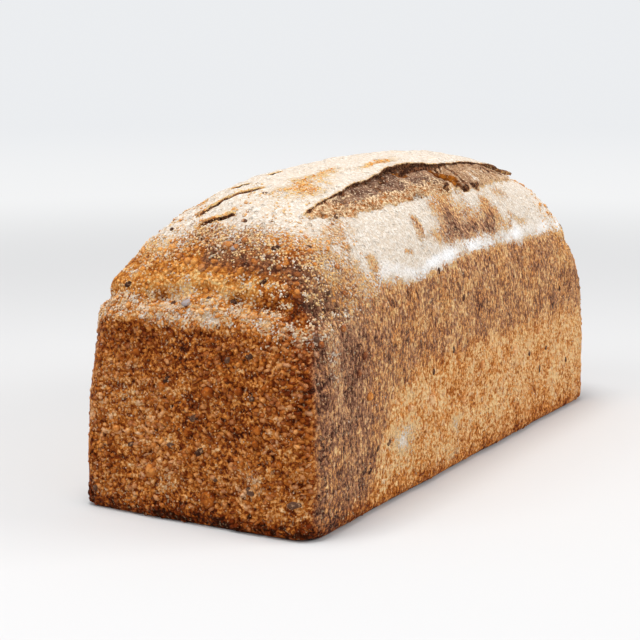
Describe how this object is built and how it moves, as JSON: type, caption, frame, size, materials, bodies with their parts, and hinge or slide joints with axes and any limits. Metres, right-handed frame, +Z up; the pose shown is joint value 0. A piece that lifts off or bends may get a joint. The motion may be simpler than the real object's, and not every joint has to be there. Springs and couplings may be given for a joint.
{
  "type": "seeded sourdough tin loaf",
  "caption": "Uncut sourdough sandwich loaf with flat tin-baked sides, a rounded crown torn open along one long slash with a lifted ear, and seeds in a dark crust.",
  "frame": {"origin": "on the table, under the middle of the loaf's bounding box", "axes": "+Z up, +X along the loaf's length; the long torn slash lies on the -Y side of the crown"},
  "size_m": [0.2752, 0.1078, 0.1282],
  "materials": {
    "crust": "baked brown bread crust, matt and rough, with pale flour on the crown"
  },
  "bodies": {
    "root": {"loaf": "crust"}
  },
  "joints": []
}
